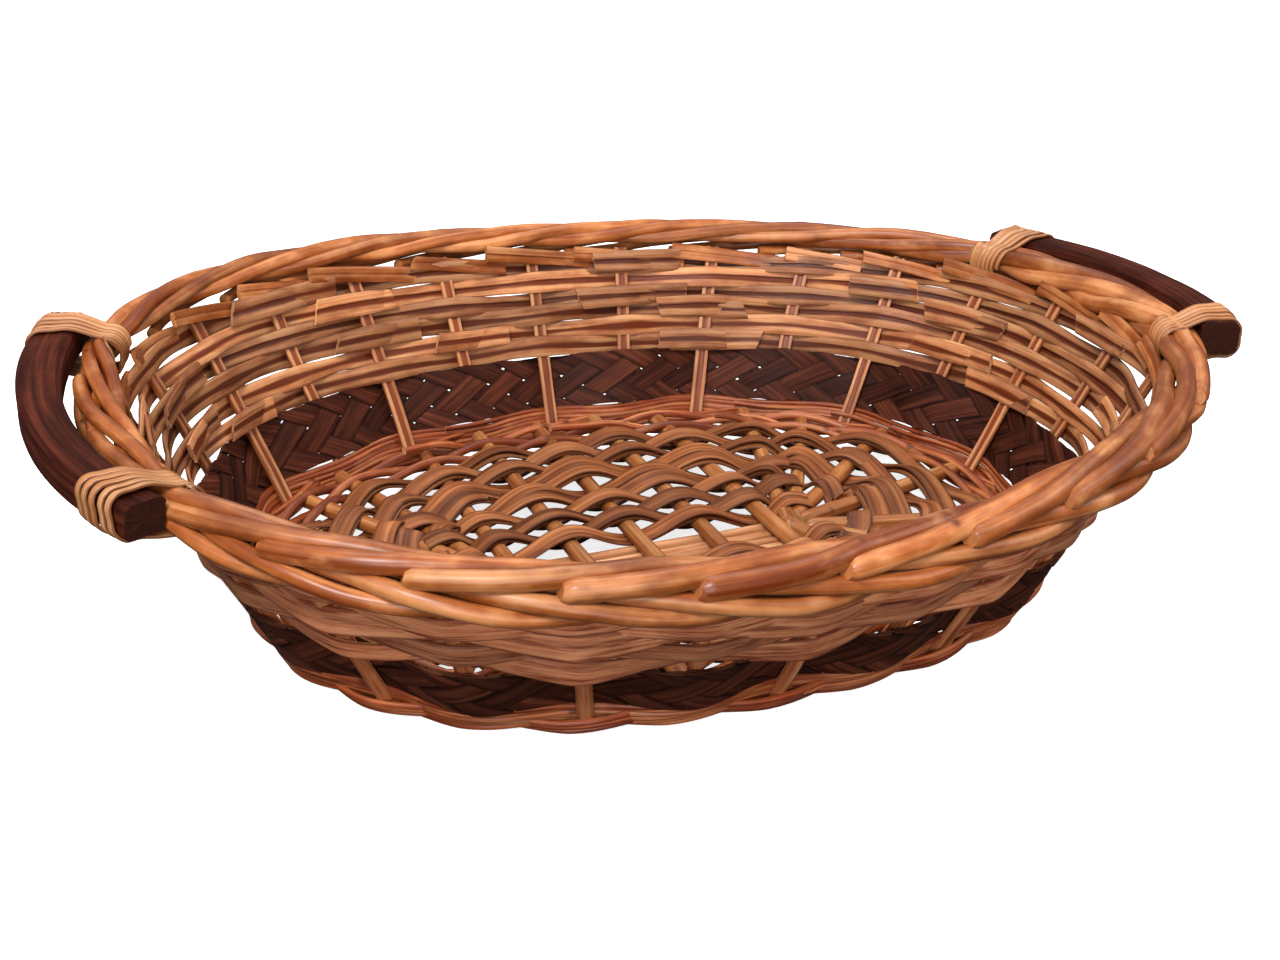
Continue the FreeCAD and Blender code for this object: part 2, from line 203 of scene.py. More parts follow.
# ---- meshes ---------------------------------------------------------------------------
class Strands:
    """Gathers the strands of one piece, with what its material needs to know of each point:
    grain = place along and across the strand, place = across, side and tone, mark = knot
    and cut face."""

    def __init__(self):
        self.points, self.faces, self.flat = [], [], []
        self.facts = {"grain": [], "place": [], "mark": []}
        self.total = 0

    def add(self, points, faces, flat, **facts):
        self.faces.append(np.asarray(faces) + self.total)
        self.flat.append(np.full(len(faces), flat))
        self.points.append(points.reshape(-1, 3))
        for key, values in facts.items():
            self.facts[key].append(np.broadcast_to(values, points.shape).reshape(-1, 3))
        self.total += points.size // 3

    def skin(self, rings, outline, lengths, side, tone, knot=0.0, ragged=0.15 * MM):
        """Faces through matching rings of points, and a cut face on each end."""
        count, corners = rings.shape[:2]
        step = np.arange(count - 1)[:, None]
        corner = np.arange(corners)[None, :]
        after, beside = step + 1, (corner + 1) % corners
        quads = np.stack([step * corners + corner, step * corners + beside,
                          after * corners + beside, after * corners + corner], -1).reshape(-1, 4)
        offset = rng.uniform(0, 40)
        width = np.abs(outline[..., 0]).max(-1, keepdims=True)
        grain = np.stack([np.broadcast_to(column(lengths) + offset, outline.shape[:2]),
                          outline[..., 0], outline[..., 1]], -1)
        place = np.stack([outline[..., 0] / width, np.broadcast_to(side, outline.shape[:2]),
                          np.full(outline.shape[:2], tone)], -1)
        mark = np.zeros(rings.shape)
        mark[..., 0] = knot
        self.add(rings, quads, False, grain=grain, place=place, mark=mark)
        for end, order in ((0, -1), (-1, 1)):
            ring = rings[end]
            middle = ring.mean(0)
            way = unit(np.cross(ring[corners // 3] - ring[0], ring[2 * corners // 3] - ring[0])) * order
            rough = rng.normal(size=(corners, 1)) * ragged
            inner = middle + (ring - middle) * 0.6 + way * rough
            disc = np.concatenate([ring, inner, middle[None]])
            index = np.arange(corners)
            follow = (index + 1) % corners
            band = np.stack([index, follow, corners + follow, corners + index], 1)
            fan = np.stack([corners + index, corners + follow, 0 * index + 2 * corners,
                            0 * index + 2 * corners], 1)
            faces = np.concatenate([band, fan])[:, ::order]
            flat_grain = np.concatenate([grain[end], grain[end] * 0.6, grain[end].mean(0)[None]])
            flat_place = np.concatenate([place[end], place[end] * 0.6, place[end].mean(0)[None]])
            self.add(disc, faces, True, grain=flat_grain, place=flat_place, mark=(0.0, 1.0, 0.0))

    def sweep(self, path, facing, outline, side, tone, slant=((0, 0), (0, 0)), **more):
        """A strand along the path. Its outline's second direction points the way of facing."""
        direction = unit(np.gradient(path, axis=0))
        facing = np.broadcast_to(facing, path.shape)
        facing = unit(facing - direction * (facing * direction).sum(-1, keepdims=True))
        across = np.cross(facing, direction)
        outline = np.broadcast_to(outline, (len(path),) + outline.shape[-2:])
        rings = path[:, None] + across[:, None] * outline[..., :1] + facing[:, None] * outline[..., 1:]
        lengths = travelled(path)
        slant_reach = 12 * MM
        for from_end, tilt in ((lengths, slant[0]), (lengths[-1] - lengths, slant[1])):
            weight = np.clip(1 - from_end / slant_reach, 0, 1)[:, None]
            shift = (outline @ np.asarray(tilt, float)) * weight
            rings = rings + direction[:, None] * shift[..., None]
        self.skin(rings, outline, lengths, side, tone, **more)

    def piece(self, name, material, slot, *nodes, crease=50):
        """Makes the mesh object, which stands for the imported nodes."""
        points = np.concatenate(self.points)
        faces = [tuple(dict.fromkeys(face)) for face in np.concatenate(self.faces).tolist()]
        mesh = bpy.data.meshes.new(name)
        mesh.from_pydata(points.tolist(), [], faces)
        for key, values in self.facts.items():
            attribute = mesh.attributes.new(key, "FLOAT_VECTOR", "POINT")
            attribute.data.foreach_set("vector", np.concatenate(values).astype(np.float32).ravel())
        mesh.polygons.foreach_set("use_smooth", ~np.concatenate(self.flat))
        mesh.set_sharp_from_angle(angle=math.radians(crease))
        mesh.materials.append(material)
        made = bpy.data.objects.new(name, mesh)
        bpy.context.scene.collection.objects.link(made)
        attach(made, "root")
        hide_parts(*nodes)
        return made


def ring_outline(corners):
    angle = 2 * np.pi * np.arange(corners) / corners
    return np.stack([np.cos(angle), np.sin(angle)], 1)


def split_outline(groove_share, groove_depth, crown):
    """Section of a split rod, half width 1 and depth 1: a round back, and a flat face towards
    the inside with the open pith groove along it. Returns it with the side of each point."""
    back_u = np.cos(np.linspace(0, np.pi, 9))
    edge = 0.5 - crown
    back = np.stack([back_u, edge + crown * np.sqrt(np.maximum(0, 1 - back_u**2))], 1)
    rim_u = (groove_share + 0.95) / 2
    face = [(-0.99, -0.34), (-0.93, -0.46), (-rim_u, -0.5), (-groove_share, -0.47),
            (-groove_share * 0.75, -0.5 + groove_depth * 0.8), (0, -0.5 + groove_depth),
            (groove_share * 0.75, -0.5 + groove_depth * 0.8), (groove_share, -0.47), (rim_u, -0.5),
            (0.93, -0.46), (0.99, -0.34)]
    side = np.array([1.0] * len(back) + [-1.0] * len(face))
    return np.concatenate([back, face]), side


stake_outline, stake_sides = split_outline(0.46, 0.24, 0.8)
flat_outline, flat_sides = split_outline(0.1, 0.04, 0.2)
circle = ring_outline(14)
circle_sides = circle[:, 1]


def knotted(outline, lengths, radius, spacing, height):
    """The outline at every place, with small swellings where side shoots grew."""
    angle = np.arctan2(outline[:, 1], outline[:, 0])
    swell = np.zeros((len(lengths), len(outline)))
    place = rng.uniform(0, spacing)
    while place < lengths[-1]:
        turn = rng.uniform(0.15, np.pi - 0.15)
        around = np.abs((angle - turn + np.pi) % (2 * np.pi) - np.pi) * radius
        size = rng.uniform(0.4, 1.0)
        near = ((lengths - place)[:, None] / (2.6 * MM)) ** 2 + (around[None] / (2.0 * MM)) ** 2
        swell += size * np.exp(-near)
        place += spacing * rng.uniform(0.5, 1.6)
    scaled = outline[None] * (radius * np.ones(len(lengths)))[:, None, None]
    return scaled * (1 + height * swell / radius)[..., None], np.clip(swell, 0, 1)


def add_rod(strands, path, diameter, facing=UP, taper=0.12, spacing=60 * MM,
            slant=((0, 0), (0, 0)), girth=1.0):
    """A willow rod along the path: uneven, tapering to its tip, with a few knots."""
    lengths = travelled(path)
    thickness = girth * (1 - taper * (lengths / lengths[-1] - 0.5))
    thickness = thickness * (1 + wander(lengths, 18 * MM, 0.025))
    shape, knot = knotted(circle, lengths, diameter / 2, spacing, 0.45 * MM)
    rounding = np.clip(1 - lengths / (0.4 * diameter), 0, 1)
    thickness = thickness * (1 - 0.3 * rounding**2)
    shape = shape * thickness[:, None, None]
    strands.sweep(path, facing, shape, circle_sides, rng.uniform(), knot=knot, slant=slant)


# ---- materials ------------------------------------------------------------------------
def colour(red, green, blue):
    """Linear colour of a screen colour given from 0 to 255."""
    return tuple((value / 255) ** 2.2 for value in (red, green, blue)) + (1.0,)


class Shader:
    """A node material, built up by short calls."""

    def __init__(self, name):
        self.material = bpy.data.materials.new(name)
        self.material.use_nodes = True
        self.tree = self.material.node_tree
        self.surface = self.tree.nodes["Principled BSDF"]

    def node(self, kind, settings=None, **inputs):
        made = self.tree.nodes.new("ShaderNode" + kind)
        for key, value in (settings or {}).items():
            setattr(made, key, value)
        for key, value in inputs.items():
            socket = made.inputs[int(key[1:])] if key[1:].isdigit() else made.inputs[key.replace("_", " ")]
            if isinstance(value, bpy.types.NodeSocket):
                self.tree.links.new(value, socket)
            else:
                socket.default_value = value
        return made

    def attribute(self, name):
        return self.node("Attribute", {"attribute_name": name}).outputs["Vector"]

    def parts(self, vector):
        return self.node("SeparateXYZ", Vector=vector).outputs

    def maths(self, operation, a, b=0.0, c=0.0, clamp=False):
        settings = {"operation": operation, "use_clamp": clamp}
        return self.node("Math", settings, i0=a, i1=b, i2=c).outputs[0]

    def step(self, value, low, high, to_low=0.0, to_high=1.0):
        inputs = {"Value": value, "From_Min": low, "From_Max": high, "To_Min": to_low, "To_Max": to_high}
        return self.node("MapRange", {"interpolation_type": "SMOOTHSTEP"}, **inputs).outputs[0]

    def noise(self, vector, scale, detail=3.0, roughness=0.55):
        stretched = self.node("VectorMath", {"operation": "MULTIPLY"}, i0=vector, i1=scale).outputs[0]
        inputs = {"Vector": stretched, "Scale": 1.0, "Detail": detail, "Roughness": roughness}
        return self.node("TexNoise", **inputs).outputs[0]

    def mix(self, amount, a, b, blend="MIX"):
        settings = {"data_type": "RGBA", "blend_type": blend}
        return self.node("Mix", settings, i0=amount, i6=a, i7=b).outputs[2]

    def ramp(self, value, *stops):
        made = self.node("ValToRGB", i0=value)
        band = made.color_ramp
        while len(band.elements) < len(stops):
            band.elements.new(0.5)
        for element, (place, shade) in zip(band.elements, stops):
            element.position = place
            element.color = shade
        return made.outputs[0]

    def join(self, name, value):
        socket = self.surface.inputs[name]
        if isinstance(value, bpy.types.NodeSocket):
            self.tree.links.new(value, socket)
        else:
            socket.default_value = value


def wood(name, dark, middle, light, groove=None, groove_edge=0.4, cut=None, fibre=700.0, run=22.0,
         blotch=0.35, tone_range=(0.75, 1.2), rough=(0.35, 0.6), coat=0.0, bump=0.35, edge=None, knot=None,
         outer=None, shine=0.42):
    """Wood, willow, cane or strip whose fibres run along each strand. The edge colour, and the darkened edges
    that come with outer, are painted shade for the gaps between neighbouring strips.
    """
    s = Shader(name)
    grain, place, mark = s.attribute("grain"), s.attribute("place"), s.attribute("mark")
    across, side, tone = s.parts(place)[:3]
    knots, cuts = s.parts(mark)[:2]
    fibres = s.noise(grain, (run, fibre, fibre), 4.0, 0.6)
    streaks = s.noise(grain, (run * 0.35, fibre * 0.28, fibre * 0.28), 3.0)
    patches = s.noise(grain, (38.0, 75.0, 75.0), 3.0, 0.6)
    hair = s.noise(grain, (run * 3.5, fibre * 2.6, fibre * 2.6), 2.0)
    blend = s.maths("MULTIPLY_ADD", fibres, 0.45, s.maths("MULTIPLY", streaks, 0.55))
    shade = s.ramp(blend, (0.36, dark), (0.5, middle), (0.63, light))
    shade = s.mix(s.step(patches, 0.42, 0.72, 0.0, blotch), shade, dark)
    shade = s.mix(s.step(patches, 0.5, 0.25, 0.0, blotch), shade, light)
    if outer is not None:
        mottle = s.ramp(s.noise(grain, (run * 2.2, fibre * 0.9, fibre * 0.9), 4.0, 0.7),
                        (0.36, groove), (0.46, outer), (0.62, light))
        shade = s.mix(s.step(side, -0.1, 0.4, 0.0, 0.55), shade, mottle)
        # painted shade: each strip is darkened towards both its edges, for the shade in the gaps between the
        # rows of weavers
        shade = s.mix(s.step(s.maths("ABSOLUTE", across), 0.72, 0.98, 0.0, 0.75), shade, dark)
    if groove is not None:
        flecks = s.noise(grain, (run * 1.4, fibre * 0.5, fibre * 0.5), 2.0)
        shade = s.mix(s.step(flecks, 0.44, 0.3, 0.0, 0.75), shade, dark)
    # painted shade: the edge colour is laid along both edges of each strip, for the shade in the gaps between
    # neighbouring strips
    if edge is not None:
        painted_edge_shade = s.step(s.maths("ABSOLUTE", across), 0.72, 1.0)
        shade = s.mix(s.maths("MULTIPLY", painted_edge_shade, 0.8), shade, edge)
    if groove is not None:
        ragged = s.maths("MULTIPLY_ADD", streaks, 0.3, s.maths("ABSOLUTE", across))
        inside = s.step(side, 0.2, -0.4)
        pale = s.mix(s.step(fibres, 0.3, 0.7, 0.25, 0.85), middle, cut)
        shade = s.mix(s.maths("MULTIPLY", inside, s.step(patches, 0.65, 0.35, 0.25, 0.85)), shade, pale)
        ragged = s.maths("MULTIPLY_ADD", s.noise(grain, (26.0, 60.0, 60.0), 2.0), 0.7, ragged)
        in_groove = s.step(ragged, groove_edge + 0.66, groove_edge + 0.38)
        brown = s.ramp(s.noise(grain, (60.0, fibre, fibre), 3.0), (0.3, dark), (0.7, groove))
        shade = s.mix(s.maths("MULTIPLY", in_groove, inside), shade, brown)
    if knot is not None:
        shade = s.mix(s.step(knots, 0.25, 0.85, 0.0, 0.9), shade, knot)
    if cut is not None:
        pith = s.mix(s.step(hair, 0.35, 0.7, 0.0, 0.6), cut, middle)
        shade = s.mix(s.maths("MULTIPLY", cuts, 0.9), shade, pith)
    lightness = s.step(tone, 0.0, 1.0, *tone_range)
    lifted = s.node("CombineXYZ", X=lightness, Y=lightness, Z=lightness).outputs[0]
    shade = s.mix(1.0, shade, lifted, "MULTIPLY")
    s.join("Base Color", shade)
    s.join("Roughness", s.step(s.maths("ADD", fibres, s.maths("MULTIPLY", cuts, 0.5)), 0.3, 0.8, *rough))
    s.join("Coat Weight", coat)
    s.join("Coat Roughness", 0.22)
    s.join("Specular IOR Level", shine)
    relief = s.maths("MULTIPLY_ADD", streaks, 0.8, s.maths("MULTIPLY_ADD", fibres, 0.8,
                                                            s.maths("MULTIPLY", hair, 0.35)))
    normal = s.node("Bump", Strength=bump, Distance=0.5 * MM, Height=relief).outputs[0]
    s.join("Normal", normal)
    return s.material


pale_cut = colour(226, 182, 128)
willow = wood("willow_rod", colour(112, 48, 14), colour(176, 98, 48), colour(222, 152, 98), run=9.0,
              fibre=300.0, cut=colour(192, 122, 70), blotch=0.75, rough=(0.34, 0.56), coat=0.14, bump=0.24,
              knot=colour(84, 38, 14), tone_range=(0.76, 1.08))
stake_willow = wood("split_willow_stake", colour(118, 56, 30), colour(176, 102, 62),
                    colour(218, 152, 106), groove=colour(140, 70, 32), groove_edge=0.42, cut=colour(228, 168, 118), blotch=0.3,
                    rough=(0.42, 0.62), coat=0.1, knot=colour(96, 48, 22), tone_range=(0.85, 1.1))
# outer also brings painted shade along the edges of each weaver, for the gaps between the rows
split_willow = wood("split_willow", colour(112, 50, 26), colour(192, 112, 68), colour(234, 162, 116),
                    groove=colour(100, 46, 18), groove_edge=0.26, cut=colour(230, 174, 120), blotch=0.6,
                    rough=(0.42, 0.65), coat=0.0, knot=colour(92, 46, 22), tone_range=(0.62, 1.16),
                    bump=0.8, outer=colour(204, 120, 88))
# edge: painted shade along both edges of each plait strip, for the gaps between strips
plait = wood("dark_plait", colour(44, 18, 11), colour(74, 37, 25), colour(104, 56, 39), run=16.0, fibre=1000.0,
             cut=colour(110, 66, 44), blotch=0.4, tone_range=(0.6, 1.25), rough=(0.55, 0.75),
             edge=colour(36, 15, 10), bump=0.4, shine=0.14)
thin_willow = wood("thin_willow", colour(94, 34, 13), colour(152, 70, 32), colour(206, 130, 82),
                   cut=pale_cut, blotch=0.5, rough=(0.4, 0.6), coat=0.08, knot=colour(82, 36, 14),
                   tone_range=(0.72, 1.14), bump=0.3)
stick_wood = wood("base_stick", colour(120, 62, 26), colour(168, 100, 52), colour(206, 144, 90),
                  cut=colour(218, 172, 116), blotch=0.4, rough=(0.38, 0.56), coat=0.15,
                  knot=colour(98, 50, 18), tone_range=(0.82, 1.08), bump=0.3)
pale_willow = wood("pale_willow", colour(170, 102, 60), colour(212, 146, 100), colour(234, 180, 132),
                   cut=colour(240, 206, 164), blotch=0.25, rough=(0.42, 0.6), coat=0.08,
                   knot=colour(130, 76, 40), tone_range=(0.88, 1.06), bump=0.4)
# edge: painted shade along both edges of each base strip, for the gaps between strips
strip_wood = wood("base_strip", colour(84, 42, 20), colour(148, 85, 48), colour(186, 121, 76), run=12.0,
                  fibre=800.0, cut=colour(196, 150, 108), blotch=0.35, tone_range=(0.74, 1.14),
                  rough=(0.5, 0.7), edge=colour(74, 38, 20), bump=0.4, shine=0.3)
bar_wood = wood("handle_wood", colour(38, 13, 8), colour(68, 29, 19), colour(100, 49, 33), run=26.0,
                fibre=950.0, cut=colour(66, 38, 28), blotch=0.4, tone_range=(0.9, 1.05), rough=(0.62, 0.85),
                bump=0.9, shine=0.12)
# edge: painted shade along both edges of the cane, for the gaps between its turns
cane = wood("cane", colour(150, 86, 44), colour(200, 132, 82), colour(232, 174, 122), run=10.0, fibre=800.0,
            cut=colour(236, 200, 150), blotch=0.3, tone_range=(0.86, 1.08), rough=(0.3, 0.46), coat=0.3,
            edge=colour(108, 56, 26), bump=0.3)


# ---- wall: stakes, split weavers, plaited band ----------------------------------------
def make_stake(number):
    strands = Strands()
    share = (number + stake_phase) / stake_count
    level = np.linspace(stake_bottom, stake_top, 40)
    along, up, out = wall_frame(share, level)
    path = wall_point(share, level) + along * column(wander(level, 24 * MM, 0.35 * MM))
    path += out * column(wander(level, 30 * MM, 0.15 * MM))
    width = stake_width / 2 * rng.uniform(0.92, 1.06) * (1 + wander(level, 20 * MM, 0.02))
    scale = np.stack([width, np.full(len(level), stake_depth)], 1)
    strands.sweep(path, out, stake_outline * scale[:, None], stake_sides, rng.uniform())
    name = "stake_%02d" % (number + 1)
    strands.piece("willow_" + name, stake_willow, "split_willow_stake", name)


row_pitch = (wall_top - band_top) / weaver_rows
slope = np.linalg.norm(wall_point(0.25, wall_top) - wall_point(0.25, band_top)) / (wall_top - band_top)


def make_weaver_row(row):
    """Split strips that pass in and out of the stakes; each begins behind the last one's tail."""
    strands = Strands()
    level = band_top + (row + 0.5) * row_pitch
    joints = []
    for number in range(weavers_per_row):
        wanted = (row * 0.37 + number) / weavers_per_row * stake_count - stake_phase + row + 1
        inside_stake = 2 * round((wanted - 1) / 2) + 1
        joints.append((inside_stake + stake_phase - row - 1) / stake_count)
    flat = row == 0
    swing = (stake_depth + weaver_depth) / 2
    for number, joint in enumerate(joints):
        following = joints[number + 1] if number + 1 < len(joints) else joints[0] + 1
        start = joint - rng.uniform(0.3, 0.75) / stake_count
        end = following + rng.uniform(0.28, 0.62) / stake_count
        share = np.linspace(start, end, int((end - start) * stake_count * 16))
        weave = side_of_stakes(share, row + 1)
        # a stiff strip runs nearly straight from one stake to the next
        weave = np.arcsin(0.97 * weave) / math.asin(0.97)
        weave = np.where((share < joint) | (share > following), -1.0, weave)
        tail = ease((share - following) * stake_count * 1.2 + 1.0)
        lengths = (share - share[0]) * rim.length
        height = level + rng.normal() * 0.35 * MM + wander(lengths, 45 * MM, 0.4 * MM)
        height = height + tail * rng.normal() * 0.8 * MM
        along, up, out = wall_frame(share, height)
        offset = weave * swing - tail * weaver_depth * 0.85 + wander(lengths, 30 * MM, 0.12 * MM)
        path = wall_point(share, height) + out * column(offset)
        half_width = row_pitch * slope * (0.62 if flat else 0.65) * rng.uniform(0.88, 1.08)
        width = half_width * (1 + wander(lengths, 35 * MM, 0.06) - 0.12 * (1 - weave**2))
        depth = weaver_depth * (0.72 if flat else 1) * (1 + wander(lengths, 40 * MM, 0.06))
        depth = depth * (1 - 0.35 * tail * rng.uniform())
        tilt = 0.24 + wander(lengths, 60 * MM, 0.13)
        facing = out + up * column(tilt)
        cut = ((rng.normal() * 0.25, 0), (rng.normal() * 0.35, 0))
        scale = np.stack([width, depth], 1)
        if flat or rng.uniform() < 0.25:
            outline, sides = flat_outline, flat_sides
        else:
            outline, sides = split_outline(rng.uniform(0.12, 0.34), rng.uniform(0.3, 0.6), 0.3)
        strands.sweep(path, facing, outline * scale[:, None], sides, rng.uniform(), slant=cut,
                      ragged=0.35 * MM)
    node = "weaver_row_%d" % (row + 1)
    strands.piece("split_" + node, split_willow, "split_willow", node)


band_circumference = travelled(wall_point(np.linspace(0, 1, 400), (band_bottom + band_top) / 2))[-1]
band_height = np.linalg.norm(wall_point(0.25, band_top) - wall_point(0.25, band_bottom))
plait_run = band_height / math.tan(plait_lean) / band_circumference
plait_crossings = 2 * plait_run * plait_strips


def make_band():
    """Two families of dark strips, over two and under two, plaited into a herringbone."""
    strands = Strands()
    rise = np.linspace(0, 1, 34)[:, None]
    for family in (-1, 1):
        for number in range(plait_strips):
            middle = (number + (0.5 if family > 0 else 0.0)) / plait_strips
            middle += rng.normal() * 0.025 / plait_strips
            width = rng.uniform(0.9, 0.985)
            w = np.linspace(-0.5, 0.5, 13)[None, :] * width
            lean = 1 + rng.normal() * 0.02
            share = middle + family * plait_run * lean * (rise - 0.5) + w / plait_strips
            ripple = 0.35 * MM * np.sin(2 * np.pi * share * plait_strips)
            level = band_bottom + 0.5 * MM + (band_top - band_bottom - MM) * rise
            level = level + ripple * (1 - 2 * rise)
            phase = plait_crossings * (rise - 0.5) + family * w
            over = np.tanh(2.6 * np.cos(np.pi * phase / 2))
            along, up, out = wall_frame(share, level)
            swing = (stake_depth + 2.2 * MM) / 2 + clearance
            crown = 0.16 * MM * (2 * np.abs(w)) ** 3
            # the family that leans left is on the inside where the two cross in mid height
            offset = family * over * (plait_relief - crown) + swing * side_of_stakes(share, 0)
            surface = wall_point(share, level) + out * column(offset)
            half = out * plait_depth / 2
            rings = np.concatenate([surface + half, (surface - half)[:, ::-1]], 1)
            u = np.broadcast_to(w * band_circumference / plait_strips * math.sin(plait_lean), share.shape)
            outline = np.stack([np.concatenate([u, u[:, ::-1]], 1),
                                np.repeat([[plait_depth / 2, -plait_depth / 2]], len(rise), 0)
                                .repeat(w.size, 1)], -1)
            side = np.repeat([1.0, -1.0], w.size)
            lengths = rise[:, 0] * band_height / math.sin(plait_lean)
            strands.skin(rings, outline, lengths, side, rng.uniform())
    strands.piece("dark_plaited_band", plait, "dark_plait", "plaited_band")


# ---- border ---------------------------------------------------------------------------
# A border rod from its outer end: spacings travelled, distance out from the middle of the
# border, height above it. It goes over the top, down inside, back out through the middle,
# along the outside below, and ends inside under the border.
border_route = np.array([
    (0.0, 8.2, -0.4), (0.5, 6.4, 2.4), (1.0, 2.6, 3.2), (1.5, -1.6, 2.6), (2.0, -4.6, 0.0),
    (2.5, -4.4, -3.2), (3.0, 0.2, -4.0), (3.5, 6.0, -4.0), (4.0, 9.0, -6.4), (4.5, 8.2, -10.2),
    (5.0, 3.4, -11.6), (5.5, -3.6, -10.6),
])
# The same for the far and left parts, where the rods are thinner and lie closer.
far_border_route = np.array([
    (0.0, 7.6, -0.8), (0.5, 5.8, 2.4), (1.0, 2.2, 4.0), (1.5, -1.4, 3.8), (2.0, -3.8, 1.8),
    (2.5, -3.4, -0.4), (3.0, 0.2, -1.0), (3.5, 5.0, -1.6), (4.0, 7.6, -3.6), (4.5, 7.4, -6.8),
    (5.0, 3.0, -7.6), (5.5, -3.0, -7.2),
])
border_width = 7.6 * MM
far_girth = 0.72                     # of a rod on the far and left parts
border_phase = 0.08
lashing_offset = 62 * MM
squeeze_reach = 16 * MM


def squeezed(share):
    """How much the lashings pull the border rods together, from 0 to 1."""
    amount = np.zeros(len(share))
    for end in (1, -1):
        for side in (1, -1):
            tied = rim.crossing((0.0, side * lashing_offset), (end, 0.0))
            away = (np.mod(share - tied + 0.5, 1.0) - 0.5) * rim.length
            amount += np.exp(-(away / squeeze_reach) ** 2)
    return amount


def farness(share):
    """1 on the far and left parts of the rim, 0 on the near and right parts."""
    point = rim.at(share)
    return ease(0.5 + 0.8 * point[..., 1] / rim.half_width - 0.5 * point[..., 0] / rim.half_length)


def add_tail(strands, begin):
    """The split end of a border rod, which lies flat on the wall inside, just under the border."""
    start, end = 5.25 + rng.uniform(-0.15, 0.1), 6.35 + rng.uniform(-0.2, 0.25)
    share = begin + np.linspace(start, end, 40) / stake_count
    part = np.linspace(0, 1, 40)
    inward = -6.2 - 2.0 * part + wander(part * 60 * MM, 30 * MM, 0.2)
    height = rng.uniform(-12.5, -11.0) * (1 - part) + rng.uniform(-6.5, -3.5) * part
    path = rim.at(share) + rim.outward(share) * column(inward * MM)
    path[:, 2] = rim_level(share) + height * MM
    along, up, out = wall_frame(share, wall_top)
    half_width = 3.5 * MM * rng.uniform(0.85, 1.1) * (1 + wander(part * 60 * MM, 20 * MM, 0.04))
    scale = np.stack([half_width, np.full(40, 2.4 * MM)], 1)
    outline, sides = split_outline(rng.uniform(0.12, 0.3), rng.uniform(0.2, 0.5), 0.35)
    strands.sweep(path, out + up * 0.2, outline * scale[:, None], sides, rng.uniform(0, 0.8),
                  slant=((0, 0), (rng.normal() * 0.2, 0)), ragged=0.3 * MM)


def make_border(name, numbers):
    strands = Strands()
    for number in numbers:
        begin = (number + stake_phase + border_phase) / stake_count
        far = column(farness(begin + border_route[:, 0] / stake_count))
        route = border_route * (1 - far) + far_border_route * far
        route[:, 1] += rng.normal(size=len(route)) * 0.35
        route[:, 2] += rng.normal(size=len(route)) * 0.3
        route[0, 0] -= rng.uniform(0.0, 0.35)
        route[-1, 0] += rng.uniform(-0.2, 0.2)
        route = smooth_path(route, 12 * 13)
        share = begin + route[:, 0] / stake_count
        outward = rim.outward(share)
        tied = squeezed(share)
        route[:, 1] = route[:, 1] * (1 - 0.4 * tied) + 3.6 * tied
        route[:, 2] = route[:, 2] * (1 - 0.2 * tied)
        path = rim.at(share) + outward * column(route[:, 1] * MM)
        path[:, 2] = rim_level(share) + route[:, 2] * MM
        path = smooth_path(path, 130)
        end_part = np.linspace(0, 1, len(path))
        share = np.interp(end_part, np.linspace(0, 1, len(share)), share)
        girth = 1 - (1 - far_girth) * farness(share)
        turn = math.radians(rng.normal(18, 12))
        facing = np.cross(unit(np.gradient(path, axis=0)), UP) * math.cos(turn) + UP * math.sin(turn)
        diameter = border_width * rng.uniform(0.92, 1.08)
        slant = ((0.25, 0.3), (rng.normal() * 0.15, rng.normal() * 0.15))
        add_rod(strands, path, diameter, facing, taper=0.3, spacing=85 * MM, slant=slant, girth=girth)
        add_tail(strands, begin)
    strands.piece("willow_" + name, willow, "willow_rod", name)


# ---- foot -----------------------------------------------------------------------------
foot_diameter = 2.6 * MM
foot_layers = 3


def make_foot_rod(number, sign, level, rise):
    """Three thin rods laid together round the foot, in and out of the stakes."""
    strands = Strands()
    for layer in range(foot_layers):
        lay_foot_rod(strands, sign, level + layer * foot_diameter * 0.72, rise)
    node = "foot_rod_%d" % number
    strands.piece("willow_" + node, thin_willow, "thin_willow", node)


def lay_foot_rod(strands, sign, level, rise):
    """One rod round the foot, whose ends lie side by side."""
    lap = 0.6 / stake_count
    begin = rng.uniform()
    share = np.linspace(begin, begin + 1 + lap, 430)
    swing = (stake_depth + foot_diameter) / 2 * rng.uniform(0.75, 1.0)
    turn = np.pi * (share * stake_count - stake_phase)
    lengths = (share - share[0]) * base.length
    ended = ease((share - begin - 1) / lap + 0.6)
    path = wall_point(share, level)
    offset = sign * swing * np.cos(turn) + wander(lengths, 30 * MM, 0.2 * MM) - ended * 3.4 * MM
    path += base.outward(share) * column(offset)
    lift = rise * sign * np.sin(turn) + wander(lengths, 26 * MM, 0.15 * MM) + ended * 2.0 * MM
    path[:, 2] = np.maximum(level + lift, foot_diameter * 0.7)
    add_rod(strands, path, foot_diameter * rng.uniform(0.9, 1.08), taper=0.2, spacing=70 * MM)


# ---- base -----------------------------------------------------------------------------
stick_margin = 7.6 * MM              # from a stick's end to the middle of the wall at the foot
stick_limit = Oval(base.half_length - stick_margin, base.half_width - stick_margin, base_roundness)


